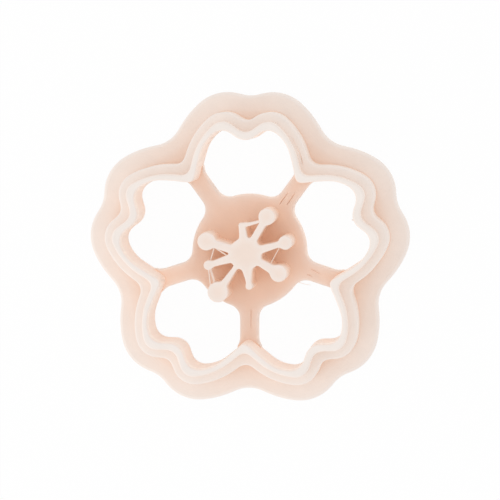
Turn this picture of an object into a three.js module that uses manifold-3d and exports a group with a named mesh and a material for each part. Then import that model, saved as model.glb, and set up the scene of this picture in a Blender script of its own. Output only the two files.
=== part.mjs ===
// Cookie cutter in the shape of a cherry blossom, with a stamp that prints the stamens.
// Millimetres, +Z up. It lies on its flange with the cutting edge on top, and the Z axis
// runs through the middle of the flower. One petal points along +Y.
import * as THREE from 'three';
import { mergeVertices } from 'three/addons/utils/BufferGeometryUtils.js';
import Module from 'manifold-3d';

// Heights
const BASE_HEIGHT = 3; // flange, hub and spokes, from the table
const WALL_RISE = 7.7; // thick wall, above the base
const BLADE_RISE = 3.3; // cutting blade, above the wall
const STAMP_RISE = 9.5; // stamp, above the hub

// Cookie outline, from which the blade and the walls are offset. Half a petal goes from its notch
// over a lobe and a shoulder to the valley beside it. The corners of the lobes lie on the cookie's
// radius, and the other corners lie some depth inside it. An angle is counted from the petal's
// middle, and a blend length is the distance from a corner at which its rounding starts.
const PETAL_COUNT = 5;
const COOKIE_RADIUS = 23.9;
const LOBE_ANGLE = THREE.MathUtils.degToRad(10.3);
const LOBE_BLEND_LENGTH = 1;
const NOTCH_DEPTH = 3.6;
const NOTCH_BLEND_LENGTH = 2.7;
const SHOULDER_DEPTH = 2;
const SHOULDER_ANGLE = THREE.MathUtils.degToRad(20.4);
const VALLEY_DEPTH = 7.8;
const VALLEY_BLEND_LENGTH = 2.5;

// Opening inside the blade: the cookie outline with rounder lobes and fuller shoulders
const OPENING_LOBE_BLEND_LENGTH = 2.1;
const OPENING_NOTCH_BLEND_LENGTH = 2.2;
const OPENING_SHOULDER_DEPTH = 1.8;

// Widths outside the cookie outline, and the rounding of the notches and valleys there
const BLADE_THICKNESS = 1.3;
const LEDGE_WIDTH = 1.7; // step from the blade out to the thick wall
const LEDGE_ROUND_RADIUS = 2.2;
const FLANGE_WIDTH = 3.6; // grip beyond the thick wall
const FLANGE_ROUND_RADIUS = 6.2;

// Web that carries the stamp
const HUB_RADIUS = 10.7;
const SPOKE_WIDTH = 3.4;
const HUB_FILLET_RADIUS = 2.6; // between a spoke and the hub
const WALL_FILLET_RADIUS = 3.2; // between a spoke and the wall

// Stamp. Each stamen is a filament that widens or narrows from the core to its anther.
// margin is the bare hub beyond the anther, and bulge is how far the anther stands out each side.
const CORE_RADIUS = 3;
const STAMENS = [
  { degrees: 97, margin: 5, rootWidth: 1.5, tipWidth: 1.25, bulge: 0.05 },
  { degrees: 60, margin: 1.15, rootWidth: 1.3, tipWidth: 1.25, bulge: 0.97 },
  { degrees: 16, margin: 1.65, rootWidth: 1.5, tipWidth: 1.05, bulge: 0.82 },
  { degrees: -30, margin: 1.95, rootWidth: 1.35, tipWidth: 1.65, bulge: 0.8 },
  { degrees: -83, margin: 3.95, rootWidth: 1.9, tipWidth: 0.85, bulge: 0.3 },
  { degrees: -125.5, margin: 0.05, rootWidth: 0.8, tipWidth: 1.3, bulge: 1.27 },
  { degrees: -162.5, margin: 2.6, rootWidth: 1.6, tipWidth: 1.05, bulge: 0.42 },
  { degrees: 162.5, margin: 1.45, rootWidth: 1.55, tipWidth: 1.5, bulge: 0.95 },
];

// Smoothness
const STEPS_PER_PETAL = 48; // points of an outer outline
const CORNER_STEPS = 8; // segments of a rounded corner
const FILLET_STEPS = 8; // segments of a fillet between a spoke and the hub or wall
const CIRCLE_STEPS = 64; // segments of a full circle
const OFFSET_SPACING = 0.1; // points along an outline that is being offset

const FIRST_PETAL = Math.PI / 2;
const PETAL_TURN = (2 * Math.PI) / PETAL_COUNT;
const notchRadius = COOKIE_RADIUS - NOTCH_DEPTH;
const openingShoulderRadius = COOKIE_RADIUS - OPENING_SHOULDER_DEPTH;
const valleyRadius = COOKIE_RADIUS - VALLEY_DEPTH;

const wasm = await Module();
wasm.setup();
const cutter = new THREE.Group();

function polar(radius, angle) {
  return new THREE.Vector2(radius * Math.cos(angle), radius * Math.sin(angle));
}

// A closed upright solid, from the table up
function prism(outline, height, hole) {
  const shape = new THREE.Shape(outline);
  if (hole) shape.holes.push(new THREE.Path(hole));
  return new THREE.ExtrudeGeometry(shape, { depth: height, bevelEnabled: false });
}

function addPiece(name, geometry, bottom) {
  const plastic = new THREE.MeshStandardMaterial({ color: 0xecd6ca, roughness: 0.5, metalness: 0 });
  const mesh = new THREE.Mesh(geometry, plastic);
  mesh.name = name;
  mesh.position.z = bottom;
  cutter.add(mesh);
}

function toSolid(geometry) {
  const bare = geometry.clone().deleteAttribute('normal').deleteAttribute('uv');
  const merged = mergeVertices(bare);
  return new wasm.Manifold(
    new wasm.Mesh({
      numProp: 3,
      vertProperties: new Float32Array(merged.attributes.position.array),
      triVerts: new Uint32Array(merged.index.array),
    }),
  );
}

// What two solids have in common
function intersection(first, second) {
  const mesh = toSolid(first).intersect(toSolid(second)).getMesh();
  const geometry = new THREE.BufferGeometry();
  geometry.setAttribute('position', new THREE.BufferAttribute(mesh.vertProperties, 3));
  geometry.setIndex(new THREE.BufferAttribute(mesh.triVerts, 1));
  geometry.computeVertexNormals();
  return geometry;
}

function arc(centre, radius, start, sweep, steps) {
  const points = [];
  for (let i = 0; i <= steps; i += 1) {
    points.push(polar(radius, start + (sweep * i) / steps).add(centre));
  }
  return points;
}

// The arc that rounds a corner of a polygon that runs anticlockwise
function roundCorner(before, corner, after, blend) {
  const back = before.clone().sub(corner).normalize();
  const ahead = after.clone().sub(corner).normalize();
  const halfAngle = Math.acos(back.dot(ahead)) / 2;
  const radius = blend * Math.tan(halfAngle);
  const inward = back.clone().add(ahead).normalize();
  const centre = inward.multiplyScalar(radius / Math.sin(halfAngle)).add(corner);
  const first = back.clone().multiplyScalar(blend).add(corner);
  const turn = Math.sign(ahead.cross(back));
  const sweep = turn * (Math.PI - 2 * halfAngle);
  return arc(centre, radius, first.sub(centre).angle(), sweep, CORNER_STEPS);
}

function petalMiddle(petal) {
  return FIRST_PETAL + petal * PETAL_TURN;
}

function valleyAngle(petal) {
  return petalMiddle(petal) + PETAL_TURN / 2;
}

// The petals' outline. The shoulders are rounded as far as there is room.
function petalOutline(shoulderDepth, lobeBlend, notchBlend) {
  const valleyReach = PETAL_TURN / 2;
  const shoulderRadius = COOKIE_RADIUS - shoulderDepth;
  const lobePlace = polar(COOKIE_RADIUS, LOBE_ANGLE);
  const shoulderPlace = polar(shoulderRadius, SHOULDER_ANGLE);
  const roomToLobe = shoulderPlace.distanceTo(lobePlace) - lobeBlend;
  const roomToValley = shoulderPlace.distanceTo(polar(valleyRadius, valleyReach)) - VALLEY_BLEND_LENGTH;
  const shoulderBlend = Math.min(roomToLobe, roomToValley);
  const corners = [];
  for (let petal = 0; petal < PETAL_COUNT; petal += 1) {
    const middle = petalMiddle(petal);
    corners.push({ place: polar(shoulderRadius, middle - SHOULDER_ANGLE), blend: shoulderBlend });
    corners.push({ place: polar(COOKIE_RADIUS, middle - LOBE_ANGLE), blend: lobeBlend });
    corners.push({ place: polar(notchRadius, middle), blend: notchBlend });
    corners.push({ place: polar(COOKIE_RADIUS, middle + LOBE_ANGLE), blend: lobeBlend });
    corners.push({ place: polar(shoulderRadius, middle + SHOULDER_ANGLE), blend: shoulderBlend });
    corners.push({ place: polar(valleyRadius, middle + valleyReach), blend: VALLEY_BLEND_LENGTH });
  }
  return corners.flatMap((corner, i) => {
    const before = corners.at(i - 1);
    const after = corners[(i + 1) % corners.length];
    return roundCorner(before.place, corner.place, after.place, corner.blend);
  });
}

// The same outline with points no further apart than spacing
function fillIn(outline, spacing) {
  return outline.flatMap((point, i) => {
    const next = outline[(i + 1) % outline.length];
    const parts = Math.ceil(point.distanceTo(next) / spacing);
    return Array.from({ length: parts }, (_, k) => point.clone().lerp(next, k / parts));
  });
}

// The outline at a distance outside (side 1) or inside (side -1) another one.
// Along each ray from the axis, it is the last or first point that a disc on the outline reaches.
function offsetOutline(outline, distance, side) {
  const centres = fillIn(outline, OFFSET_SPACING);
  const count = PETAL_COUNT * STEPS_PER_PETAL;
  const points = [];
  for (let i = 0; i < count; i += 1) {
    const ray = polar(1, FIRST_PETAL + (2 * Math.PI * i) / count);
    const reaches = [];
    for (const centre of centres) {
      const along = ray.dot(centre);
      const across = ray.cross(centre);
      if (along > 0 && Math.abs(across) < distance) {
        reaches.push(along + side * Math.sqrt(distance ** 2 - across ** 2));
      }
    }
    const radius = side > 0 ? Math.max(...reaches) : Math.min(...reaches);
    points.push(ray.multiplyScalar(radius));
  }
  return points;
}

// An outline grown by a distance, with its notches and valleys rounded
function growOutline(outline, distance, round) {
  return offsetOutline(offsetOutline(outline, distance + round, 1), round, -1);
}

function flatDistance(radius, half) {
  return Math.sqrt(radius ** 2 - half ** 2);
}

// A disc whose rim is cut flat where pieces are joined on: each joint has an angle and a half width,
// and the joints are in the order of their angles
function flattenedDisc(radius, joints) {
  return joints.flatMap((joint, i) => {
    const last = i === joints.length - 1;
    const next = joints[last ? 0 : i + 1];
    const start = joint.angle + Math.asin(joint.half / radius);
    const end = next.angle - Math.asin(next.half / radius) + (last ? 2 * Math.PI : 0);
    const steps = Math.ceil(((end - start) / (2 * Math.PI)) * CIRCLE_STEPS);
    return arc(new THREE.Vector2(), radius, start, end - start, steps);
  });
}

function turned(points, angle) {
  return points.map((point) => point.clone().rotateAround(new THREE.Vector2(), angle));
}

// Rings: the blade stands on the thick wall, and the flange goes round the wall's foot
const cookie = petalOutline(SHOULDER_DEPTH, LOBE_BLEND_LENGTH, NOTCH_BLEND_LENGTH);
const opening = petalOutline(
  OPENING_SHOULDER_DEPTH,
  OPENING_LOBE_BLEND_LENGTH,
  OPENING_NOTCH_BLEND_LENGTH,
);
const bladeOutline = offsetOutline(cookie, BLADE_THICKNESS, 1);
const wallOutline = growOutline(cookie, BLADE_THICKNESS + LEDGE_WIDTH, LEDGE_ROUND_RADIUS);
const flangeOutline = growOutline(wallOutline, FLANGE_WIDTH, FLANGE_ROUND_RADIUS);
const wallHeight = BASE_HEIGHT + WALL_RISE;
addPiece('grip_flange', prism(flangeOutline, BASE_HEIGHT, wallOutline), 0);
addPiece('thick_wall', prism(wallOutline, wallHeight, opening), 0);
addPiece('cutting_blade', prism(bladeOutline, BLADE_RISE, opening), wallHeight);

// Hub and spokes. A spoke is drawn along +X. Its sides run parallel, with a fillet out to the hub's
// rim and another out to the petal's side, and the opening's outline cuts its outer end. A fillet's
// centre lies some way to the side of the spoke's middle line.
const hubFilletSide = SPOKE_WIDTH / 2 + HUB_FILLET_RADIUS;
const hubFilletPlace = flatDistance(HUB_RADIUS + HUB_FILLET_RADIUS, hubFilletSide);
const hubFilletSweep = Math.acos(hubFilletSide / (HUB_RADIUS + HUB_FILLET_RADIUS));
const hubJointHalf = (hubFilletSide * HUB_RADIUS) / (HUB_RADIUS + HUB_FILLET_RADIUS);
const shoulder = polar(openingShoulderRadius, PETAL_TURN / 2 - SHOULDER_ANGLE);
const petalSide = shoulder.sub(polar(valleyRadius, 0)).normalize();
const wallFilletSide = SPOKE_WIDTH / 2 + WALL_FILLET_RADIUS;
const wallFilletPlace = valleyRadius + (wallFilletSide * petalSide.x - WALL_FILLET_RADIUS) / petalSide.y;
const wallFilletSweep = petalSide.angle();

function spokeOutline() {
  const down = -Math.PI / 2;
  const hubCentre = new THREE.Vector2(hubFilletPlace, hubFilletSide);
  const wallCentre = new THREE.Vector2(wallFilletPlace, wallFilletSide);
  const hubFillet = arc(hubCentre, HUB_FILLET_RADIUS, down - hubFilletSweep, hubFilletSweep, FILLET_STEPS);
  const wallFillet = arc(wallCentre, WALL_FILLET_RADIUS, down, wallFilletSweep, FILLET_STEPS);
  const end = wallFillet.at(-1).clone().setX(openingShoulderRadius);
  const side = [...hubFillet, ...wallFillet, end];
  const otherSide = side.map((point) => new THREE.Vector2(point.x, -point.y));
  return [...otherSide, ...side.reverse()];
}

const openingSolid = prism(opening, BASE_HEIGHT);
const hubJoints = [];
for (let petal = 0; petal < PETAL_COUNT; petal += 1) {
  const angle = valleyAngle(petal);
  const spoke = prism(turned(spokeOutline(), angle), BASE_HEIGHT);
  addPiece(`spoke_${petal + 1}`, intersection(spoke, openingSolid), 0);
  hubJoints.push({ angle, half: hubJointHalf });
}
addPiece('hub_plate', prism(flattenedDisc(HUB_RADIUS, hubJoints), BASE_HEIGHT), 0);

// Stamp: the stamens stand round the core, on the hub
const coreJoints = [];
STAMENS.forEach((stamen, i) => {
  const angle = THREE.MathUtils.degToRad(stamen.degrees);
  const rootHalf = stamen.rootWidth / 2;
  const tipHalf = stamen.tipWidth / 2;
  const antherRadius = tipHalf + stamen.bulge;
  const antherPlace = HUB_RADIUS - stamen.margin - antherRadius;
  const rootPlace = flatDistance(CORE_RADIUS, rootHalf);
  const tipPlace = antherPlace - flatDistance(antherRadius, tipHalf);
  const filament = [
    new THREE.Vector2(rootPlace, -rootHalf),
    new THREE.Vector2(tipPlace, -tipHalf),
    new THREE.Vector2(tipPlace, tipHalf),
    new THREE.Vector2(rootPlace, rootHalf),
  ];
  const anther = flattenedDisc(antherRadius, [{ angle: Math.PI, half: tipHalf }]);
  anther.forEach((point) => point.add(polar(antherPlace, 0)));
  addPiece(`filament_${i + 1}`, prism(turned(filament, angle), STAMP_RISE), BASE_HEIGHT);
  addPiece(`anther_${i + 1}`, prism(turned(anther, angle), STAMP_RISE), BASE_HEIGHT);
  coreJoints.push({ angle, half: rootHalf });
});
coreJoints.sort((a, b) => a.angle - b.angle);
addPiece('stamp_core', prism(flattenedDisc(CORE_RADIUS, coreJoints), STAMP_RISE), BASE_HEIGHT);

export default cutter;
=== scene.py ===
"""Blossom cookie cutter, printed in one run from pale peach PLA.

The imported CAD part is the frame. Each operator builds one printed piece over its CAD nodes, with the
rounded edges, score lines and strings that the printer left, and the last one sets up the studio.
Lengths are metres, as everywhere in Blender, and MM turns millimetres into them.
"""

import functools
import math

import bmesh
import bpy
import numpy as np
from mathutils import Matrix, Vector
from mathutils.bvhtree import BVHTree
from mathutils.geometry import delaunay_2d_cdt
from mathutils.kdtree import KDTree


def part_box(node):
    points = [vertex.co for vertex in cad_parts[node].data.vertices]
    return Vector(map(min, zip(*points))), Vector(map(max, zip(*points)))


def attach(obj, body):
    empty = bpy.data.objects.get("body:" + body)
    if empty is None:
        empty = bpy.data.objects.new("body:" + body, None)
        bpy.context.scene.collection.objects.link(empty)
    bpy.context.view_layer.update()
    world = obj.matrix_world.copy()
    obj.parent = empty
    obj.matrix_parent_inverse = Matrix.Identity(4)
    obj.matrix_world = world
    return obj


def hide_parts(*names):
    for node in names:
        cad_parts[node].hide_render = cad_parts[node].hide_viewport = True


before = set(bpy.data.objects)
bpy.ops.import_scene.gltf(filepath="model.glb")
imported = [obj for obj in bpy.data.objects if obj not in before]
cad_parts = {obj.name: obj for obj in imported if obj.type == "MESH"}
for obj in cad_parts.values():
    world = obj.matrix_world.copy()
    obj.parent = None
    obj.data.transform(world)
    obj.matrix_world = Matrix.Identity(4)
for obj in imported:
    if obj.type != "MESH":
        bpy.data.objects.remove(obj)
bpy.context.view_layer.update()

bl_info = {
    "name": "Blossom Cookie Cutter",
    "version": (1, 0, 0),
    "blender": (4, 5, 0),
    "location": "3D View > Sidebar > Cutter",
    "description": "Builds the printed pieces of a blossom cookie cutter and a studio round it",
    "category": "Object",
}

MM = 0.001
BODY = "root"

WEB_NODES = ["hub_plate"] + sorted(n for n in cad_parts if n.startswith("spoke_"))
STAMP_NODES = ["stamp_core"] + sorted(
    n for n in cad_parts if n.startswith(("filament_", "anther_"))
)

# Fineness of the meshes
RING_STEPS = 720  # points round a ring
OUTLINE_BLUR = 1.5  # points over which an outline is evened out
EDGE_STEPS = 4  # bands of a rounded edge
SIDE_SPACING = 0.9 * MM  # rows up a side
TOP_SPACING = 0.45 * MM  # points over a flat top
LINE_SPACING = 0.12 * MM  # points along a free outline
FINE_SPACING = 0.05 * MM  # points along an outline whose radii are read off
HELD_FLAT = 0.12 * MM  # flat border next to a rounded edge, which keeps the top's shading flat
FLANGE_ROWS = 12  # rows over the top of the flange
LIP_ROWS = 4  # rows over the lip
FOOT_ROWS = 6  # rows under the flange and the wall
BLADE_FOOT_ROWS = 3  # rows under the blade
WELD = 0.002 * MM  # closer CAD points are one point
CAP_WELD = 1e-5  # the same for the points of a top, which are counted in millimetres there
FILL_INSIDE = 1  # what Blender's triangulation calls filling only the inside
TOP_FACING = 0.9  # a CAD face is a top where its normal points up by at least this
SHARP_ANGLE = math.radians(40)
SCORE_STEPS = 11  # points along a score
SCORE_BLUNTNESS = 0.3  # how soon a score opens out from its ends, where 0 is at once
SCORE_FADE = 0.6  # a score is deeper where the nozzle set off and shallower where it lifted
STRING_STEPS = 24  # points along a string
STRING_SIDES = 10
STRING_THINNING = 0.25  # share that a string loses in the middle
STRING_TIP = 0.98  # how far the rounding of an end goes, where 1 is down to a point
STRING_HEIGHT = 0.36 * MM  # most that one is thick

# Inner corners of the wall and lip, one at each spoke
SPOKES = 5
FIRST_SPOKE = math.radians(54)
CORNER_SPREAD = math.radians(5)
FLANK_SPREAD = math.radians(9)
FLANK_SHARE = 0.55  # how much of the corner's depth is taken back beside it

# Web and stamp
WEB_LIFT = 0.01 * MM  # the web's foot is this much above the wall's, so that the two never fall together
WEB_CORNER = 0.2 * MM  # rounding of the corners of its outline
SPOKE_TOUCHES = 0.07 * MM  # a spoke's end that is closer to the wall touches it
SPOKE_LET_IN = 0.8 * MM  # how deep that end goes into the wall
ROUNDING_RUN = 0.6 * MM  # over which the rounding of the web's edge runs out at the wall
ROUNDING_START = 0.2  # share of that run next to the wall where it is least
LEAST_ROUNDING = 0.15
STAMP_CORNER = 0.3 * MM  # rounding of the corners of the stamp's outline
STAMP_SUNK = 0.1 * MM  # how deep the stamp's foot stands in the hub

# Plastic: colour, gloss, ribs and patches
PLA_IOR = 1.46
ROUGHNESS = (0.44, 0.56)
TONE_SKY = (0.1, 0.35, 0.6, 1.0)  # share of the sky at which each colour stands, from deep to lit
UNEVENNESS = 0.015  # of the colour, to both sides
PATCH_SIZE = 3 * MM
PATCH_DETAIL = 3.0
PATCH_RANGE = (0.3, 0.7)  # values between which nearly all of the noise lies
SLANT = (math.sqrt(0.5), math.sqrt(0.5), 0)  # across the beads that fill a top
OUTLINE_BEADS = 3  # beads that follow an outline
BEAD_RELIEF = 0.004 * MM
LAYER_RELIEF = 0.008 * MM
LAYERS_DRAWN = 2  # layers in one drawn rib, as single ones are too fine to show

# Sky that a point of the relief sees, which sets its painted shade and painted glow
MAP_REACH = 34 * MM
MAP_CELL = 0.2 * MM
MAP_FROM = 1.0  # height from which the relief is looked down on
SKY_BEARINGS = 24
SKY_STEPS = [0.25 * MM * 1.17**i for i in range(30)]  # distances at which the horizon is looked for
CLEAR_OF_FACE = 0.25 * MM
NOT_ZERO = 1e-9
BLADE_LETS_THROUGH = 0.5  # the thin blade glows, so it takes away only this part of the light
FLOOR_GLOW = 0.9  # a white table, next to the sky
SKY_BLUR = 2.0  # points of a ring over which the sky is evened out
FOOT_FACING = -0.5  # a point is on the foot where its normal points up by less than this
UNDERSIDE_SHARE = 0.7  # of the sky that the foot sees once the cutter is turned over
RING_SIDE_SHADE = 0.12  # painted shade: sky that the outer sides of the flange, wall and blade lose
# How the painted glow, for the light out of a wall and of a plate, goes with the sky seen there
WALL_LIGHT_RISE = (0, 0.6, 0.9, 1.0), (1, 1, 0.8, 0)
PLATE_LIGHT_RISE = (0, 0.2, 0.5), (1.5, 0.55, 0.95)
OUTER_SIDE_LIGHT = 0.25  # painted glow kept on outer sides, as light goes through a wall from outside in
# How the painted light on the lamp's side, for its light through the wall, goes with the distance to it
LAMP_LIGHT_RISE = (8 * MM, 16 * MM), (0, 1)
SIDE_REACH = 0.5 * MM  # further in from the outline, what stands upright is the side of a score

# Studio
FLOOR_HALF = 3.0  # from the middle of the floor to its edge
FLOOR_GAP = 0.02 * MM  # between the floor and the cutter's foot
FLOOR_CLEAR = 5 * FLOOR_GAP  # light that sets out closer to the floor than this goes through it
FLOOR_WHITE = 0.96  # share of plain white in the floor as it is seen, where the rest shows the shadow
KEY_SIZE = 0.4
KEY_DISTANCE = 0.6
SENSOR_WIDTH = 36  # in millimetres, as Blender counts it
VIEW_DEPTH = 100


def linear(hex_colour):
    """An sRGB colour such as #F2E7DF as linear red, green and blue."""
    shares = [int(hex_colour[i : i + 2], 16) / 255 for i in (1, 3, 5)]
    return tuple(s / 12.92 if s <= 0.04045 else ((s + 0.055) / 1.055) ** 2.4 for s in shares)


def height_of(node):
    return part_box(node)[1].z


class CutterPrint(bpy.types.PropertyGroup):
    """What the printer left on the pieces."""

    flange_edge: bpy.props.FloatProperty(
        name="Flange edge",
        description="Radius of the rounded outer edge of the grip flange",
        default=0.6 * MM,
        min=0.0,
        unit="LENGTH",
        precision=5,
    )
    ledge_edge: bpy.props.FloatProperty(
        name="Ledge edge",
        description="Radius of the rounded edge of the step outside the blade",
        default=0.35 * MM,
        min=0.0,
        unit="LENGTH",
        precision=5,
    )
    lip_edge: bpy.props.FloatProperty(
        name="Lip edge",
        description="Radius of both edges of the cutting lip",
        default=0.35 * MM,
        min=0.0,
        unit="LENGTH",
        precision=5,
    )
    inner_corner: bpy.props.FloatProperty(
        name="Inner corner",
        description="How much further in than in the CAD part the wall's inner corners come to a point",
        default=0.45 * MM,
        min=0.0,
        unit="LENGTH",
        precision=5,
    )
    web_edge: bpy.props.FloatProperty(
        name="Web edge",
        description="Radius of the upper edges of the hub and spokes",
        default=0.3 * MM,
        min=0.0,
        unit="LENGTH",
        precision=5,
    )
    stamp_edge: bpy.props.FloatProperty(
        name="Stamp edge",
        description="Radius of the upper edge of the stamp",
        default=0.25 * MM,
        min=0.0,
        unit="LENGTH",
        precision=5,
    )
    score_width: bpy.props.FloatProperty(
        name="Score width",
        description="Width of the open lines between two beads of plastic",
        default=0.26 * MM,
        min=0.0,
        unit="LENGTH",
        precision=5,
    )
    score_depth: bpy.props.FloatProperty(
        name="Score depth",
        description="Depth of the open lines between two beads of plastic",
        default=0.27 * MM,
        min=0.0,
        unit="LENGTH",
        precision=5,
    )
    groove_width: bpy.props.FloatProperty(
        name="Groove width",
        description="Width of the open line in the ledge",
        default=0.36 * MM,
        min=0.0,
        unit="LENGTH",
        precision=5,
    )
    layer_height: bpy.props.FloatProperty(
        name="Layer height",
        description="Height of one printed layer",
        default=0.2 * MM,
        min=0.0,
        unit="LENGTH",
        precision=5,
    )
    bead_width: bpy.props.FloatProperty(
        name="Bead width",
        description="Width of one line of plastic on a top face",
        default=0.45 * MM,
        min=0.0,
        unit="LENGTH",
        precision=5,
    )


class CutterPlastic(bpy.types.PropertyGroup):
    """Colours of painted shade and glow, from what stands in open light to what lies deep in the relief."""

    lit: bpy.props.FloatVectorProperty(
        name="Lit",
        description="Colour of a face in open light",
        default=linear("#FAF0E9"),
        subtype="COLOR",
        min=0.0,
        max=1.0,
    )
    half_lit: bpy.props.FloatVectorProperty(
        name="Half lit",
        description="Colour of a face that sees half of the sky",
        default=linear("#FAE9DE"),
        subtype="COLOR",
        min=0.0,
        max=1.0,
    )
    shaded: bpy.props.FloatVectorProperty(
        name="Shaded",
        description="Colour of a face that sees a third of the sky",
        default=linear("#F7DAC7"),
        subtype="COLOR",
        min=0.0,
        max=1.0,
    )
    deep: bpy.props.FloatVectorProperty(
        name="Deep",
        description="Colour of a face that sees little of the sky",
        default=linear("#FBDBC4"),
        subtype="COLOR",
        min=0.0,
        max=1.0,
    )
    # Painted glow: emission colours that stand in for light come through the plastic
    glow: bpy.props.FloatVectorProperty(
        name="Glow",
        description="Colour of the light that has wandered through the hub and spokes",
        default=linear("#FF8C58"),
        subtype="COLOR",
        min=0.0,
        max=1.0,
    )
    through: bpy.props.FloatVectorProperty(
        name="Through",
        description="Colour of the light that has come through a wall",
        default=linear("#FFEBD8"),
        subtype="COLOR",
        min=0.0,
        max=1.0,
    )


class CutterStudio(bpy.types.PropertyGroup):
    """Camera, light and floor."""

    camera_distance: bpy.props.FloatProperty(
        name="Camera distance",
        description="From the camera to the middle of the cutter's foot",
        default=701.3 * MM,
        unit="LENGTH",
    )
    camera_tilt: bpy.props.FloatProperty(
        name="Camera tilt",
        description="Lean of the camera away from straight above",
        default=math.radians(5.6),
        subtype="ANGLE",
    )
    camera_bearing: bpy.props.FloatProperty(
        name="Camera bearing",
        description="Side to which the camera leans, from +X towards +Y",
        default=math.radians(34.1),
        subtype="ANGLE",
    )
    camera_roll: bpy.props.FloatProperty(
        name="Camera roll",
        description="Turn of the camera about its line of sight",
        default=math.radians(0.15),
        subtype="ANGLE",
    )
    camera_field: bpy.props.FloatProperty(
        name="Camera field",
        description="Width that the picture shows at the cutter's foot",
        default=93.98 * MM,
        unit="LENGTH",
    )
    camera_aim: bpy.props.FloatVectorProperty(
        name="Camera aim",
        description="Point of the table in the middle of the picture",
        default=(-0.11 * MM, 0.06 * MM, 0.0),
        subtype="TRANSLATION",
        unit="LENGTH",
        precision=5,
    )
    sky_strength: bpy.props.FloatProperty(
        name="Sky strength",
        description="Strength of the white light from all round",
        default=0.888,
    )
    key_power: bpy.props.FloatProperty(
        name="Key power",
        description="Power of the large soft lamp",
        default=0.47,
        unit="POWER",
    )
    key_bearing: bpy.props.FloatProperty(
        name="Key bearing",
        description="Side from which the large lamp shines, from +X towards +Y",
        default=math.radians(210),
        subtype="ANGLE",
    )
    key_rise: bpy.props.FloatProperty(
        name="Key rise",
        description="Height of the large lamp above the table, seen from the cutter",
        default=math.radians(20),
        subtype="ANGLE",
    )
    floor: bpy.props.FloatVectorProperty(
        name="Floor",
        description="Colour of the studio floor",
        default=linear("#FAFAFA"),
        subtype="COLOR",
        min=0.0,
        max=1.0,
    )


def top_outlines(*nodes):
    """The closed outlines round the joined top faces of some CAD nodes, the longest first."""
    joined = bmesh.new()
    for node in nodes:
        joined.from_mesh(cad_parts[node].data)
    bmesh.ops.remove_doubles(joined, verts=joined.verts, dist=WELD)
    joined.normal_update()
    top = max(v.co.z for v in joined.verts)
    faces = [f for f in joined.faces if f.normal.z > TOP_FACING and f.calc_center_median().z > top - WELD]
    at_top = set(faces)
    follower = {}
    for face in faces:
        for corner in face.loops:
            if sum(f in at_top for f in corner.edge.link_faces) == 1:
                follower[corner.vert] = corner.link_loop_next.vert
    outlines = []
    while follower:
        start = next(iter(follower))
        point, outline = start, []
        while point in follower:
            outline.append(point.co.xy[:])
            point = follower.pop(point)
        if point is not start:
            raise RuntimeError(f"the top of {nodes} has an open outline")
        outlines.append(np.array(outline))
    joined.free()
    return sorted(outlines, key=length_round, reverse=True)


def length_round(outline):
    return np.linalg.norm(outline - np.roll(outline, 1, axis=0), axis=1).sum()


def filled_in(outline, spacing):
    """The same closed outline with points at an even spacing."""
    closed = np.vstack([outline, outline[:1]])
    along = np.concatenate([[0], np.cumsum(np.linalg.norm(np.diff(closed, axis=0), axis=1))])
    places = np.linspace(0, along[-1], round(along[-1] / spacing), endpoint=False)
    return np.stack([np.interp(places, along, closed[:, k]) for k in (0, 1)], axis=1)


def softened(points, spread):
    """Closed rows of values with their corners rounded. spread is counted in points."""
    waves = np.fft.fftfreq(len(points)) * 2 * np.pi
    damping = np.exp(-((waves * spread) ** 2) / 2).reshape(-1, *[1] * (points.ndim - 1))
    return np.fft.ifft(np.fft.fft(points, axis=0) * damping, axis=0).real


def radius_at(outline, angles):
    """How far an outline that goes round the axis is from it, at some angles."""
    fine = filled_in(outline, FINE_SPACING)
    bearings = np.arctan2(fine[:, 1], fine[:, 0])
    return np.interp(angles, bearings, np.hypot(fine[:, 0], fine[:, 1]), period=2 * np.pi)


def ring_outline(outline, corner=0.0):
    """An outline as points at even angles round the axis, with corners that come to more of a point."""
    angles = 2 * np.pi * np.arange(RING_STEPS) / RING_STEPS
    radii = softened(radius_at(outline, angles), OUTLINE_BLUR)
    between = 2 * np.pi / SPOKES
    turn = (angles - FIRST_SPOKE + between / 2) % between - between / 2
    point = np.exp(-((turn / CORNER_SPREAD) ** 2)) - FLANK_SHARE * np.exp(-((turn / FLANK_SPREAD) ** 2))
    radii -= corner * point / (1 - FLANK_SHARE)
    return np.stack([radii * np.cos(angles), radii * np.sin(angles)], axis=1)


def free_outline(outline, corner):
    """An outline of any shape, with corners rounded off over about that length."""
    fine = filled_in(outline, LINE_SPACING)
    return filled_in(softened(fine, corner / LINE_SPACING), LINE_SPACING)


def nearest(points, outline):
    """Which point of an outline is nearest to each of some points, and how far off it is."""
    tree = KDTree(len(outline))
    for i, point in enumerate(outline):
        tree.insert((*point, 0), i)
    tree.balance()
    found = [tree.find((point[0], point[1], 0)) for point in points]
    return np.array([f[1] for f in found]), np.array([f[2] for f in found])


def outward(outline):
    """Directions that point away from what an anticlockwise outline goes round."""
    along = np.roll(outline, -1, axis=0) - np.roll(outline, 1, axis=0)
    along /= np.linalg.norm(along, axis=1)[:, None]
    return np.stack([along[:, 1], -along[:, 0]], axis=1)


def at_height(outline, height):
    return np.column_stack([outline, np.full(len(outline), height)])


def side_rows(outline, low, high, low_edge=0.0, high_edge=0.0, into=-1.0):
    """Rows of points up a side, with the edges rounded. into is -1 where the plastic lies inside the
    outline and 1 where it lies outside, and less than that where the rounding runs out."""
    turns = [math.pi / 2 * i / EDGE_STEPS for i in range(EDGE_STEPS + 1)]
    places = []
    if low_edge:
        places += [(low_edge * (1 - math.sin(t)), low + low_edge * (1 - math.cos(t))) for t in turns]
    else:
        places.append((0.0, low))
    gap = (high - high_edge) - (low + low_edge)
    count = max(1, round(gap / SIDE_SPACING))
    places += [(0.0, low + low_edge + gap * i / count) for i in range(1, count)]
    if high_edge:
        places += [(high_edge * (1 - math.cos(t)), high - high_edge * (1 - math.sin(t))) for t in turns]
    else:
        places.append((0.0, high))
    away = outward(outline) * np.reshape(into, (-1, 1))
    return [at_height(outline + inset * away, height) for inset, height in places]


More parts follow.
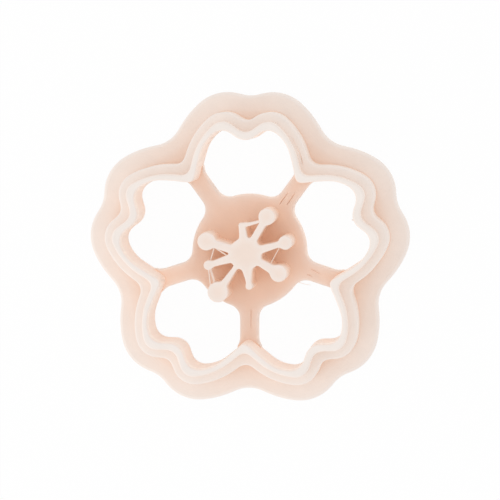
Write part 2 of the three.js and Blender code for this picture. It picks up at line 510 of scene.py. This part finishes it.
def rows_between(first, last, count):
    """Evenly spaced rows between two rows, with a narrow flat border at both ends."""
    width = np.linalg.norm(last - first, axis=1).mean()
    border = min(HELD_FLAT / width, 0.5 / count)
    shares = [border] + [i / count for i in range(1, count)] + [1 - border]
    return [first + (last - first) * share for share in shares]


def grooved_rows(first, last, groove, width):
    """Rows between two rows round a flat top, with an open line of the printer in it. groove is the line's
    points with the depth at each, in the order of their bearings."""
    bearing = np.arctan2(first[:, 1], first[:, 0])
    span = np.linalg.norm(last - first, axis=1)
    turn = np.arctan2(groove[:, 1], groove[:, 0])
    outer = np.interp(turn, bearing, np.hypot(first[:, 0], first[:, 1]), period=2 * np.pi)
    inner = np.interp(turn, bearing, np.hypot(last[:, 0], last[:, 1]), period=2 * np.pi)
    share = np.interp(bearing, turn, (outer - np.hypot(groove[:, 0], groove[:, 1])) / (outer - inner))
    half = width / 2 / span
    before = [HELD_FLAT / span, share / 3, share * 2 / 3, share - half]
    after = [share + half] + [share + (1 - share) * i / 4 for i in (1, 2, 3)] + [1 - HELD_FLAT / span]
    rows = [first + (last - first) * s[:, None] for s in (*before, share, *after)]
    rows[len(before)][:, 2] -= np.interp(bearing, turn, groove[:, 2])
    return rows


def ring_mesh(name, rows):
    """A closed ring through rows of points, the last of them joined to the first."""
    count = len(rows[0])
    faces = []
    for i in range(len(rows)):
        here, there = i * count, (i + 1) % len(rows) * count
        for j in range(count):
            ahead = (j + 1) % count
            faces.append((here + j, here + ahead, there + ahead, there + j))
    return new_piece(name, np.concatenate(rows), faces)


def new_piece(name, points, faces):
    mesh = bpy.data.meshes.new(name)
    mesh.from_pydata([tuple(p) for p in points], [], faces)
    mesh.validate()
    mesh.shade_smooth()
    mesh.set_sharp_from_angle(angle=SHARP_ANGLE)
    piece = bpy.data.objects.new(name, mesh)
    bpy.context.scene.collection.objects.link(piece)
    return piece


def strings_mesh(name, strings):
    """Closed threads with round ends. Each runs from a start to an end, sags by a bow, and goes from one
    width to another, thinned in the middle where the nozzle pulled it out."""
    points, faces = [], []
    turns = 2 * np.pi * np.arange(STRING_SIDES) / STRING_SIDES
    shares = np.linspace(0, 1, STRING_STEPS)[:, None]
    pull = np.sin(np.pi * shares)
    for start, end, bow, first_width, last_width in strings:
        middle = MM * (start + (np.array(end) - start) * shares + np.array(bow) * pull)
        width = MM * (first_width + (last_width - first_width) * shares) * (1 - STRING_THINNING * pull)
        from_end = np.minimum(shares, 1 - shares) * np.linalg.norm(middle[-1] - middle[0])
        width *= np.sqrt(1 - np.clip(1 - 2 * from_end / width, 0, STRING_TIP) ** 2)
        height = np.minimum(width, STRING_HEIGHT)
        along = np.gradient(middle, axis=0)
        across = np.cross((0, 0, 1), along)
        across /= np.linalg.norm(across, axis=1)[:, None]
        up = np.cross(along, across)
        up /= np.linalg.norm(up, axis=1)[:, None]
        first = len(points)
        for centre, right, top in zip(middle, across * width / 2, up * height / 2):
            points.extend(centre + np.outer(np.cos(turns), right) + np.outer(np.sin(turns), top))
        for i in range(STRING_STEPS - 1):
            for j in range(STRING_SIDES):
                ahead = (j + 1) % STRING_SIDES
                here, there = first + i * STRING_SIDES, first + (i + 1) * STRING_SIDES
                faces.append((here + j, here + ahead, there + ahead, there + j))
        faces.append(tuple(reversed(range(first, first + STRING_SIDES))))
        faces.append(tuple(range(len(points) - STRING_SIDES, len(points))))
    return new_piece(name, points, faces)


def score_points(start, end, width, depth):
    """Points of an open line between two beads: its left rail, right rail, middle and depths there."""
    start, end = np.array(start), np.array(end)
    along = end - start
    across = np.array([-along[1], along[0]]) / np.linalg.norm(along)
    shares = np.linspace(0, 1, SCORE_STEPS)
    opening = np.sin(np.pi * shares)[1:-1, None] ** SCORE_BLUNTNESS
    middle = start + along * shares[:, None]
    left = middle[1:-1] + across * opening * width / 2
    right = middle[1:-1] - across * opening * width / 2
    depths = depth * opening[:, 0] * (1 + SCORE_FADE * (0.5 - shares[1:-1]))
    depths = np.concatenate([[0], depths, [0]])
    return left, right, middle, depths


def filled_top(outline, scores=()):
    """Points and triangles that fill an outline, and how deep each point lies under the top."""
    points, edges, depths = [], [], []

    def add_line(line, line_depths=None, closed=False):
        first = len(points)
        points.extend(line)
        depths.extend(np.zeros(len(line)) if line_depths is None else line_depths)
        edges.extend((i, i + 1) for i in range(first, len(points) - 1))
        if closed:
            edges.append((len(points) - 1, first))
        return first

    add_line(outline, closed=True)
    for score in scores:
        left, right, middle, score_depths = score_points(*score)
        spine = add_line(middle, score_depths)
        tip = spine + len(middle) - 1
        for rail in (left, right):
            first = add_line(rail)
            edges.extend([(spine, first), (first + len(rail) - 1, tip)])
    low, high = outline.min(axis=0), outline.max(axis=0)
    # Rows of triangles with three equal sides
    rise = TOP_SPACING * math.sqrt(0.75)
    grid = [
        (low[0] + TOP_SPACING * (i + 0.5 * (j % 2)), low[1] + rise * j)
        for j in range(int((high[1] - low[1]) / rise) + 1)
        for i in range(int((high[0] - low[0]) / TOP_SPACING) + 1)
    ]
    grid = np.array(grid)
    grid = grid[nearest(grid, points)[1] > 0.5 * TOP_SPACING]
    grid = grid[inside(grid, outline)]
    points.extend(grid)
    depths.extend(np.zeros(len(grid)))
    flat = [Vector(p) / MM for p in points]
    placed, _, corners, origins, *_ = delaunay_2d_cdt(flat, edges, [], FILL_INSIDE, CAP_WELD)
    if len(placed) != len(points) or not all(origins):
        raise RuntimeError("an outline of a top face crosses itself")
    triangles = [[origins[i][0] for i in face] for face in corners]
    return np.array(points), triangles, np.array(depths)


def inside(points, outline):
    """Which points lie inside a closed outline."""
    found = np.zeros(len(points), bool)
    x, y = points[:, 0], points[:, 1]
    for (x0, y0), (x1, y1) in zip(outline, np.roll(outline, -1, axis=0)):
        if y0 != y1:
            found ^= ((y0 > y) != (y1 > y)) & (x < (x1 - x0) * (y - y0) / (y1 - y0) + x0)
    return found


def slab_mesh(name, outline, low, high, edge, scores=(), into=-1.0):
    """A closed slab on an outline, with a rounded upper edge and scored lines in its top."""
    rows = side_rows(outline, low, high, 0.0, edge, into)
    flat = outline + (edge + HELD_FLAT) * outward(outline) * np.reshape(into, (-1, 1))
    rows.append(at_height(flat, high))
    count = len(outline)
    points, faces = list(np.concatenate(rows)), []
    for i in range(len(rows) - 1):
        for j in range(count):
            ahead = (j + 1) % count
            faces.append((i * count + j, i * count + ahead, (i + 1) * count + ahead, (i + 1) * count + j))
    for border, start, height, up, marks in (
        (flat, (len(rows) - 1) * count, high, True, scores),
        (outline, 0, low, False, ()),
    ):
        cap, triangles, depths = filled_top(border, marks)
        added = len(points) - count
        points.extend(np.column_stack([cap, height - depths])[count:])
        for triangle in triangles:
            corners = [start + i if i < count else added + i for i in triangle]
            faces.append(corners if up else corners[::-1])
    return new_piece(name, points, faces)


@functools.lru_cache(maxsize=None)
def relief():
    """Heights of the whole cutter on an even grid, seen from above."""
    points, faces = [], []
    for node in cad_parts.values():
        first = len(points)
        points.extend(v.co.copy() for v in node.data.vertices)
        faces.extend([first + i for i in p.vertices] for p in node.data.polygons)
    tree = BVHTree.FromPolygons(points, faces)
    places = np.arange(-MAP_REACH, MAP_REACH, MAP_CELL)
    down = Vector((0, 0, -1))
    heights = np.zeros((len(places), len(places)))
    for i, x in enumerate(places):
        for j, y in enumerate(places):
            hit = tree.ray_cast(Vector((x, y, MAP_FROM)), down)[0]
            heights[i, j] = hit.z if hit else 0.0
    return heights


def sky_share(points, away, heights):
    """How much of the white sky and table each point sees, from 0 to 1."""
    start = points + CLEAR_OF_FACE * away
    level = np.hypot(away[:, 0], away[:, 1])
    bearing = np.arctan2(away[:, 1], away[:, 0])
    sky, table, table_all = np.zeros((3, len(points)))
    for turn in 2 * np.pi * np.arange(SKY_BEARINGS) / SKY_BEARINGS:
        step = np.array([math.cos(turn), math.sin(turn)])
        slope = np.zeros(len(points))
        for reach in SKY_STEPS:
            cell = np.rint((start[:, :2] + reach * step + MAP_REACH) / MAP_CELL).astype(int)
            cell = np.clip(cell, 0, len(heights) - 1)
            slope = np.maximum(slope, (heights[cell[:, 0], cell[:, 1]] - start[:, 2]) / reach)
        horizon = np.arctan(slope)
        # Light from above the horizon, by the angle at which it meets the face
        ahead = level * np.cos(turn - bearing)
        upper = ahead * ((np.pi / 2 - horizon) / 2 - np.sin(2 * horizon) / 4)
        upper += away[:, 2] * np.cos(horizon) ** 2 / 2
        sky += np.maximum(upper, 0)
        front = np.maximum(ahead, 0) + np.maximum(-away[:, 2], 0)
        table += front * np.cos(horizon) ** 2
        table_all += front
    sky *= 2 / SKY_BEARINGS
    table /= np.maximum(table_all, NOT_ZERO)
    return np.clip(sky + 0.5 * (1 - away[:, 2]) * FLOOR_GLOW * table, 0, 1)


def read_vectors(items, field):
    values = np.empty(len(items) * 3)
    items.foreach_get(field, values)
    return values.reshape(-1, 3)


def add_measures(
    piece,
    outline,
    shade=1.0,
    edge_light=1.0,
    side_shade=0.0,
    wall_light=0.0,
    plate_light=0.0,
    lamp_light=0.0,
    in_rings=False,
):
    """Keeps on a piece the sky that each point sees, which sets its painted shade, the painted glow that
    stands in for the light that comes out of the plastic there, and the distance from the outline, which
    the beads follow. The painted shade is deeper on a plate away from its edges, and so it is on the
    upright sides, of a ring only the outer ones."""
    mesh = piece.data
    points = read_vectors(mesh.vertices, "co")
    away = read_vectors(mesh.vertices, "normal")
    whole = relief()
    without_blade = np.minimum(whole, height_of("thick_wall"))
    share = BLADE_LETS_THROUGH * sky_share(points, away, without_blade)
    share += (1 - BLADE_LETS_THROUGH) * sky_share(points, away, whole)
    run = nearest(points, outline)[1]
    upright = np.hypot(away[:, 0], away[:, 1])
    if in_rings:
        share = softened(share.reshape(-1, RING_STEPS).T, SKY_BLUR).T.ravel()
        upright[np.sum(away[:, :2] * points[:, :2], axis=1) < 0] = 0
    else:
        upright[run > SIDE_REACH] = 0
    # Painted shade: set on upright sides by side_shade, and deeper away from a plate's edges by shade
    share *= 1 - side_shade * upright
    share *= shade + (1 - shade) * np.exp(-run / edge_light)
    share[away[:, 2] < FOOT_FACING] = UNDERSIDE_SHARE
    # Painted glow: emission that stands in for light through the walls and plates
    corners = np.empty(len(mesh.loops), np.int32)
    mesh.loops.foreach_get("vertex_index", corners)
    facing = read_vectors(mesh.corner_normals, "vector")
    level = np.abs(facing[:, 2])
    from_wall = (1 - level) * wall_light * np.interp(share[corners], *WALL_LIGHT_RISE)
    if in_rings:
        from_axis = np.sum(facing[:, :2] * points[corners, :2], axis=1)
        from_wall[from_axis > 0] *= OUTER_SIDE_LIGHT
    else:
        from_wall[run[corners] > SIDE_REACH] = 0
    from_plate = level * plate_light * np.interp(share[corners], *PLATE_LIGHT_RISE)
    # Painted light: level faces on the lamp's side glow more, as if its light came through the wall
    bearing = bpy.context.scene.cutter_studio.key_bearing
    to_lamp = points[corners, :2] @ (math.cos(bearing), math.sin(bearing))
    from_lamp = np.maximum(facing[:, 2], 0) * lamp_light * np.interp(to_lamp, *LAMP_LIGHT_RISE)
    plastic = bpy.context.scene.cutter_plastic
    colours = np.outer(from_wall + from_lamp, (*plastic.through, 0))
    colours += np.outer(from_plate, (*plastic.glow, 0))
    for name, values in (("open_sky", share), ("bead_run", run)):
        layer = mesh.attributes.new(name, "FLOAT", "POINT")
        layer.data.foreach_set("value", np.array(values, np.float32))
    layer = mesh.attributes.new("light_through", "FLOAT_COLOR", "CORNER")
    layer.data.foreach_set("color", np.array(colours.ravel(), np.float32))


def add_node(tree, kind, settings=None, inputs=None, stops=()):
    """Adds a node, sets or links its inputs, and gives a colour ramp its stops."""
    node = tree.nodes.new(kind)
    for name, value in (settings or {}).items():
        setattr(node, name, value)
    for socket, value in (inputs or {}).items():
        if isinstance(value, bpy.types.NodeSocket):
            tree.links.new(value, node.inputs[socket])
        else:
            node.inputs[socket].default_value = value
    if stops:
        marks = node.color_ramp.elements
        marks.remove(marks[1])
        for position, _ in stops[1:]:
            marks.new(position)
        for mark, (position, colour) in zip(marks, stops):
            mark.position, mark.color = position, (*colour, 1)
    return node


def new_material(name):
    material = bpy.data.materials.get(name)
    if material:
        return material, None
    material = bpy.data.materials.new(name)
    material.use_nodes = True
    material.cycles.emission_sampling = "NONE"
    material.node_tree.nodes.clear()
    return material, material.node_tree


def printed_pla():
    """Pale peach PLA as the printer laid it down, in beads on the flat faces and in layers up the walls.
    It is satin and faintly ribbed. Its colour carries painted shade, whitish where it stands in the open
    and warmer where it sees little of the sky, with a painted glow where light would come through."""
    material, tree = new_material("PLA_printed_in_layers")
    if tree is None:
        return material
    plastic, sizes = bpy.context.scene.cutter_plastic, bpy.context.scene.cutter_print
    open_sky = add_node(tree, "ShaderNodeAttribute", {"attribute_name": "open_sky"}).outputs["Fac"]
    # Painted glow, kept on each piece as an attribute
    light_through = add_node(tree, "ShaderNodeAttribute", {"attribute_name": "light_through"})
    place = add_node(tree, "ShaderNodeTexCoord").outputs["Object"]
    facing = add_node(tree, "ShaderNodeNewGeometry").outputs["Normal"]
    rise = add_node(tree, "ShaderNodeSeparateXYZ", inputs={0: facing}).outputs["Z"]
    level = add_node(tree, "ShaderNodeMath", {"operation": "ABSOLUTE"}, {0: rise}).outputs[0]

    # Colour with painted shade by the sky each point sees, a little uneven as the pigment is
    painted_shade_stops = list(zip(TONE_SKY, (plastic.deep, plastic.shaded, plastic.half_lit, plastic.lit)))
    painted_shade = add_node(tree, "ShaderNodeValToRGB", inputs={"Fac": open_sky}, stops=painted_shade_stops)
    patches = add_node(
        tree,
        "ShaderNodeTexNoise",
        inputs={"Vector": place, "Scale": 1 / PATCH_SIZE, "Detail": PATCH_DETAIL},
    ).outputs["Fac"]
    uneven = []
    for least, most in ((1 - UNEVENNESS, 1 + UNEVENNESS), ROUGHNESS):
        limits = {"From Min": PATCH_RANGE[0], "From Max": PATCH_RANGE[1], "To Min": least, "To Max": most}
        spread = add_node(tree, "ShaderNodeMapRange", inputs={"Value": patches, **limits})
        uneven.append(spread.outputs[0])
    brightness, roughness = uneven
    colour = add_node(
        tree,
        "ShaderNodeHueSaturation",
        inputs={"Value": brightness, "Color": painted_shade.outputs["Color"]},
    )

    # Ribs: beads round the outline, slanting lines inside those, and layers up a wall
    bead_run = add_node(tree, "ShaderNodeAttribute", {"attribute_name": "bead_run"}).outputs["Fac"]
    slant = add_node(
        tree,
        "ShaderNodeVectorMath",
        {"operation": "DOT_PRODUCT"},
        {0: place, 1: SLANT},
    )
    inner = add_node(
        tree,
        "ShaderNodeMapRange",
        {"interpolation_type": "SMOOTHSTEP"},
        {
            "Value": bead_run,
            "From Min": OUTLINE_BEADS * sizes.bead_width,
            "From Max": (OUTLINE_BEADS + 1) * sizes.bead_width,
        },
    )
    height = add_node(tree, "ShaderNodeSeparateXYZ", inputs={0: place}).outputs["Z"]
    ribs = []
    for run, width, depth in (
        (height, LAYERS_DRAWN * sizes.layer_height, LAYER_RELIEF),
        (bead_run, sizes.bead_width, BEAD_RELIEF),
        (slant.outputs["Value"], sizes.bead_width, BEAD_RELIEF),
    ):
        turn = add_node(tree, "ShaderNodeMath", {"operation": "MULTIPLY"}, {0: run, 1: 2 * math.pi / width})
        wave = add_node(tree, "ShaderNodeMath", {"operation": "SINE"}, {0: turn.outputs[0]})
        rib = add_node(tree, "ShaderNodeMath", {"operation": "MULTIPLY"}, {0: wave.outputs[0], 1: depth})
        ribs.append(rib.outputs[0])
    # In a mix, 0 is the share and 2 and 3 are the values
    beads = add_node(tree, "ShaderNodeMix", inputs={0: inner.outputs[0], 2: ribs[1], 3: ribs[2]})
    relief_height = add_node(tree, "ShaderNodeMix", inputs={0: level, 2: ribs[0], 3: beads.outputs[0]})
    ribbed = add_node(
        tree,
        "ShaderNodeBump",
        inputs={"Height": relief_height.outputs[0], "Distance": 1.0, "Strength": 1.0},
    )
    # The base colour carries painted shade and the emission is painted glow
    shader = add_node(
        tree,
        "ShaderNodeBsdfPrincipled",
        inputs={
            "Base Color": colour.outputs["Color"],
            "Roughness": roughness,
            "IOR": PLA_IOR,
            "Normal": ribbed.outputs["Normal"],
            "Emission Color": light_through.outputs["Color"],
            "Emission Strength": 1.0,
        },
    )
    add_node(tree, "ShaderNodeOutputMaterial", inputs={"Surface": shader.outputs["BSDF"]})
    return material


def background_rays(tree):
    """The light path, and 1 for rays that show a background as white: to the camera, in a gloss or through
    something clear."""
    light_path = add_node(tree, "ShaderNodeLightPath")
    seen = light_path.outputs["Is Camera Ray"]
    for kind in ("Is Glossy Ray", "Is Transmission Ray"):
        either = {0: seen, 1: light_path.outputs[kind]}
        seen = add_node(tree, "ShaderNodeMath", {"operation": "MAXIMUM"}, either).outputs[0]
    return light_path, seen


def finish_piece(piece, outline, *nodes, **light):
    """Gives a piece painted shade and glow, its plastic and body, and hides the CAD nodes it stands for."""
    add_measures(piece, outline, **light)
    piece.data.materials.append(printed_pla())
    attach(piece, BODY)
    if nodes:
        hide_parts(*nodes)


class CUTTER_OT_grip_flange(bpy.types.Operator):
    """Build the flat grip that goes round the foot of the wall"""

    bl_idname = "cutter.grip_flange"
    bl_label = "Grip flange"

    def execute(self, context):
        sizes = context.scene.cutter_print
        outer, inner = (ring_outline(o) for o in top_outlines("grip_flange"))
        top = height_of("grip_flange")
        rows = side_rows(outer, 0.0, top, sizes.flange_edge / 2, sizes.flange_edge)
        joint = at_height(inner, top)
        rows += rows_between(rows[-1], joint, FLANGE_ROWS)
        rows += [joint, at_height(inner, 0.0)]
        rows += rows_between(rows[-1], rows[0], FOOT_ROWS)
        flange = ring_mesh("flange", rows)
        finish_piece(
            flange, outer, "grip_flange", side_shade=RING_SIDE_SHADE, wall_light=0.12, in_rings=True
        )
        return {"FINISHED"}


class CUTTER_OT_thick_wall(bpy.types.Operator):
    """Build the wall that carries the blade"""

    bl_idname = "cutter.thick_wall"
    bl_label = "Thick wall"

    def execute(self, context):
        sizes = context.scene.cutter_print
        outer, inner = top_outlines("thick_wall")
        outer, inner = ring_outline(outer), ring_outline(inner, sizes.inner_corner)
        top = height_of("thick_wall")
        rows = side_rows(outer, 0.0, top, 0.0, sizes.ledge_edge)
        # Points of the open line in the ledge and its depth there, in millimetres
        groove = [
            (10.44, 16.19, 0),
            (10.31, 17.2, 0.32),
            (9.74, 18.86, 0.2),
            (9.04, 19.97, 0.07),
            (8.6, 21.07, 0.14),
            (8.14, 21.85, 0),
        ]
        rows += grooved_rows(rows[-1], at_height(inner, top), MM * np.array(groove), sizes.groove_width)
        inner_side = side_rows(inner, 0.0, top, into=1)
        rows += inner_side[::-1]
        rows += rows_between(rows[-1], rows[0], FOOT_ROWS)
        wall = ring_mesh("wall", rows)
        finish_piece(
            wall, outer, "thick_wall", side_shade=RING_SIDE_SHADE, wall_light=0.11, in_rings=True
        )
        return {"FINISHED"}


class CUTTER_OT_cutting_blade(bpy.types.Operator):
    """Build the thin blade on the wall"""

    bl_idname = "cutter.cutting_blade"
    bl_label = "Cutting blade"

    def execute(self, context):
        sizes = context.scene.cutter_print
        outer, inner = top_outlines("cutting_blade")
        outer, inner = ring_outline(outer), ring_outline(inner, sizes.inner_corner)
        foot, top = height_of("thick_wall"), height_of("cutting_blade")
        rows = side_rows(outer, foot, top, 0.0, sizes.lip_edge)
        inner_side = side_rows(inner, foot, top, 0.0, sizes.lip_edge, into=1)[::-1]
        rows += rows_between(rows[-1], inner_side[0], LIP_ROWS)
        rows += inner_side
        rows += rows_between(rows[-1], rows[0], BLADE_FOOT_ROWS)
        blade = ring_mesh("blade", rows)
        finish_piece(
            blade, outer, "cutting_blade", side_shade=RING_SIDE_SHADE, wall_light=0.185, in_rings=True
        )
        return {"FINISHED"}


class CUTTER_OT_web(bpy.types.Operator):
    """Build the hub and its five spokes"""

    bl_idname = "cutter.web"
    bl_label = "Hub and spokes"

    def execute(self, context):
        sizes = context.scene.cutter_print
        outline, into = self.outline_into_wall()
        # Start and end in millimetres, and share of the full depth
        lines = [
            ((5.55, 8.64), (7.35, 11.17), 0.8),
            ((6.94, 8.61), (8.68, 11.1), 0.85),
            ((11.55, -3.2), (13.45, -4.25), 0.65),
            ((10.85, -4.2), (11.95, -4.7), 0.6),
            ((0.35, -10.7), (0.36, -14.7), 0.65),
        ]
        scores = [
            (np.array(start) * MM, np.array(end) * MM, sizes.score_width, share * sizes.score_depth)
            for start, end, share in lines
        ]
        top = height_of("hub_plate")
        web = slab_mesh("web", outline, WEB_LIFT, top, sizes.web_edge, scores, into)
        finish_piece(
            web,
            outline,
            *WEB_NODES,
            shade=0.59,
            edge_light=0.9 * MM,
            side_shade=-1.0,
            wall_light=0.14,
            plate_light=0.025,
            lamp_light=0.1,
        )
        return {"FINISHED"}

    def outline_into_wall(self):
        """The web's outline with the ends of the spokes let into the wall, and how far its edge is
        rounded at each point: the rounding runs out where the web meets the wall."""
        outline = filled_in(top_outlines(*WEB_NODES)[0], LINE_SPACING)
        wall = filled_in(top_outlines("thick_wall")[1][::-1], LINE_SPACING)
        away = outward(wall)
        index, gap = nearest(outline, wall)
        touching = gap < SPOKE_TOUCHES
        first_free = np.argmin(touching)
        order = np.roll(np.arange(len(outline)), -first_free)
        points, run = [], []
        for i in [*order, first_free]:
            if touching[i]:
                run.append(index[i])
                continue
            if run:
                count = (run[-1] - run[0]) % len(wall) + 1
                end = (run[0] + np.arange(count)) % len(wall)
                points.extend(wall[end] + SPOKE_LET_IN * away[end])
            run = []
            points.append(outline[i])
        outline = free_outline(np.array(points[:-1]), WEB_CORNER)
        index, gap = nearest(outline, wall)
        gap *= np.sign(np.sum((wall[index] - outline) * away[index], axis=1))
        clear = np.clip(gap / ROUNDING_RUN - ROUNDING_START, 0, 1)
        return outline, -LEAST_ROUNDING - (1 - LEAST_ROUNDING) * clear**2 * (3 - 2 * clear)


class CUTTER_OT_stamp(bpy.types.Operator):
    """Build the stamp that prints the stamens"""

    bl_idname = "cutter.stamp"
    bl_label = "Stamp"

    def execute(self, context):
        sizes = context.scene.cutter_print
        outline = free_outline(top_outlines(*STAMP_NODES)[0], STAMP_CORNER)
        foot, top = height_of("hub_plate") - STAMP_SUNK, height_of("stamp_core")
        stamp = slab_mesh("stamp", outline, foot, top, sizes.stamp_edge)
        finish_piece(
            stamp, outline, *STAMP_NODES, shade=0.55, edge_light=0.4 * MM, side_shade=0.2, wall_light=0.05
        )
        return {"FINISHED"}


class CUTTER_OT_strings(bpy.types.Operator):
    """Draw the strings from stamen to stamen, the wisp at a spoke and the burr in the lip"""

    bl_idname = "cutter.strings"
    bl_label = "Strings"

    def execute(self, context):
        straight = (0, 0, 0)
        # Start, end, bow, and width at both ends, in millimetres
        strings = [
            # First stamen to second, drawn out of a thick drop
            ((-1.25, 5.2, 12.42), (2.85, 6.1, 12.2), (0, -0.1, 0), 1.3, 0.5),
            # Third to fourth
            ((6.36, 1.36, 11.4), (4.55, -1.97, 11.4), straight, 0.2, 0.2),
            # Sixth to seventh, a thin one and a thick one
            ((-6.9, -2.6, 11.6), (-6.45, -6.2, 11.6), straight, 0.26, 0.26),
            ((-6.6, -2.8, 10.6), (-5.65, -5.9, 10.6), straight, 0.5, 0.7),
            # Seventh to eighth
            ((-5.8, 1.2, 11.4), (-6.64, -1.8, 11.4), straight, 0.32, 0.3),
            # Across the root of the eighth
            ((-5.5, 1, 11.8), (-3, -0.62, 11.8), straight, 0.34, 0.34),
            # Wisp under the edge of the fourth spoke
            ((9.0, -5.75, 1.5), (11.5, -6.36, 1.5), (0, -0.1, 0), 0.1, 0.04),
            # Burr inside the lip
            ((20.6, 6.6, 13.6), (19.75, 6.45, 13.6), straight, 0.6, 0.24),
        ]
        piece = strings_mesh("strings", strings)
        finish_piece(piece, top_outlines("cutting_blade")[0], shade=0.75, edge_light=0.1 * MM)
        return {"FINISHED"}


def direction(bearing, rise):
    """A direction by its side, from +X towards +Y, and its angle above the table."""
    return Vector(
        (math.cos(rise) * math.cos(bearing), math.cos(rise) * math.sin(bearing), math.sin(rise))
    )


class CUTTER_OT_studio(bpy.types.Operator):
    """Set up the floor, the light and the camera"""

    bl_idname = "cutter.studio"
    bl_label = "Studio"

    def execute(self, context):
        scene = context.scene
        studio = scene.cutter_studio
        scene.view_settings.view_transform = "Standard"
        self.lay_floor(scene, studio)
        self.light_sky(scene, studio)
        self.hang_key(scene, studio)
        self.place_camera(scene, studio)
        return {"FINISHED"}

    def lay_floor(self, scene, studio):
        """Matt white paper, which keeps the cutter's soft shadow and is plain white round it."""
        ways = ((-1, -1), (1, -1), (1, 1), (-1, 1))
        corners = [(x * FLOOR_HALF, y * FLOOR_HALF, -FLOOR_GAP) for x, y in ways]
        mesh = bpy.data.meshes.new("studio_floor")
        mesh.from_pydata(corners, [], [(0, 1, 2, 3)])
        floor = bpy.data.objects.new("studio_floor", mesh)
        scene.collection.objects.link(floor)
        material, tree = new_material("Paper_floor")
        light_path, seen = background_rays(tree)
        share = add_node(tree, "ShaderNodeMath", {"operation": "MULTIPLY"}, {0: seen, 1: FLOOR_WHITE})
        paper = add_node(tree, "ShaderNodeBsdfDiffuse", inputs={"Color": (*studio.floor, 1)})
        white = add_node(tree, "ShaderNodeEmission", inputs={"Strength": 1.0})
        mixed = add_node(
            tree,
            "ShaderNodeMixShader",
            inputs={0: share.outputs[0], 1: paper.outputs[0], 2: white.outputs[0]},
        )
        # Clear from below, and for the light that goes to the cutter's foot, so that the foot can be
        # looked at
        side = add_node(tree, "ShaderNodeNewGeometry")
        touching = add_node(
            tree,
            "ShaderNodeMath",
            {"operation": "LESS_THAN"},
            {0: light_path.outputs["Ray Length"], 1: FLOOR_CLEAR},
        )
        unseen = add_node(
            tree,
            "ShaderNodeMath",
            {"operation": "MAXIMUM"},
            {0: side.outputs["Backfacing"], 1: touching.outputs[0]},
        )
        clear = add_node(tree, "ShaderNodeBsdfTransparent")
        one_sided = add_node(
            tree,
            "ShaderNodeMixShader",
            inputs={0: unseen.outputs[0], 1: mixed.outputs[0], 2: clear.outputs[0]},
        )
        add_node(tree, "ShaderNodeOutputMaterial", inputs={"Surface": one_sided.outputs[0]})
        mesh.materials.append(material)

    def light_sky(self, scene, studio):
        world = bpy.data.worlds.new("studio_sky")
        scene.world = world
        world.use_nodes = True
        tree = world.node_tree
        tree.nodes.clear()
        seen = background_rays(tree)[1]
        sky = add_node(tree, "ShaderNodeBackground", inputs={"Strength": studio.sky_strength})
        white = add_node(tree, "ShaderNodeBackground", inputs={"Strength": 1.0})
        for background in (sky, white):
            background.inputs["Color"].default_value = (1, 1, 1, 1)
        mixed = add_node(
            tree,
            "ShaderNodeMixShader",
            inputs={0: seen, 1: sky.outputs[0], 2: white.outputs[0]},
        )
        add_node(tree, "ShaderNodeOutputWorld", inputs={"Surface": mixed.outputs[0]})

    def hang_key(self, scene, studio):
        lamp = bpy.data.lights.new("key_lamp", "AREA")
        lamp.energy = studio.key_power
        lamp.size = KEY_SIZE
        key = bpy.data.objects.new("key_lamp", lamp)
        away = direction(studio.key_bearing, studio.key_rise)
        key.location = away * KEY_DISTANCE
        key.rotation_euler = away.to_track_quat("Z", "Y").to_euler()
        scene.collection.objects.link(key)

    def place_camera(self, scene, studio):
        lens = bpy.data.cameras.new("camera")
        lens.sensor_width = SENSOR_WIDTH
        lens.lens = lens.sensor_width * studio.camera_distance / studio.camera_field
        lens.clip_end = VIEW_DEPTH
        camera = bpy.data.objects.new("camera", lens)
        back = direction(studio.camera_bearing, math.pi / 2 - studio.camera_tilt)
        right = Vector((0, 1, 0)).cross(back).normalized()
        upright = Matrix((right, back.cross(right), back)).transposed()
        turned = upright @ Matrix.Rotation(studio.camera_roll, 3, "Z")
        place = Vector(studio.camera_aim) + back * studio.camera_distance
        camera.matrix_world = Matrix.Translation(place) @ turned.to_4x4()
        scene.collection.objects.link(camera)
        scene.camera = camera


class CUTTER_PT_sidebar(bpy.types.Panel):
    """Lists the operators and everything that can be set"""

    bl_idname = "CUTTER_PT_sidebar"
    bl_label = "Blossom cookie cutter"
    bl_space_type = "VIEW_3D"
    bl_region_type = "UI"
    bl_category = "Cutter"

    def draw(self, context):
        for maker in MAKERS:
            self.layout.operator(maker.bl_idname)
        for group in GROUPS:
            box = self.layout.box()
            for name in group.__annotations__:
                box.prop(getattr(context.scene, GROUPS[group]), name)


GROUPS = {
    CutterPrint: "cutter_print",
    CutterPlastic: "cutter_plastic",
    CutterStudio: "cutter_studio",
}
MAKERS = (
    CUTTER_OT_grip_flange,
    CUTTER_OT_thick_wall,
    CUTTER_OT_cutting_blade,
    CUTTER_OT_web,
    CUTTER_OT_stamp,
    CUTTER_OT_strings,
    CUTTER_OT_studio,
)


def register():
    for made in (*GROUPS, *MAKERS, CUTTER_PT_sidebar):
        bpy.utils.register_class(made)
    for group, name in GROUPS.items():
        setattr(bpy.types.Scene, name, bpy.props.PointerProperty(type=group))


def unregister():
    for name in GROUPS.values():
        delattr(bpy.types.Scene, name)
    for made in reversed((*GROUPS, *MAKERS, CUTTER_PT_sidebar)):
        bpy.utils.unregister_class(made)


def main():
    register()
    bpy.ops.cutter.grip_flange()
    bpy.ops.cutter.thick_wall()
    bpy.ops.cutter.cutting_blade()
    bpy.ops.cutter.web()
    bpy.ops.cutter.stamp()
    bpy.ops.cutter.strings()
    bpy.ops.cutter.studio()


if __name__ == "__main__":
    main()
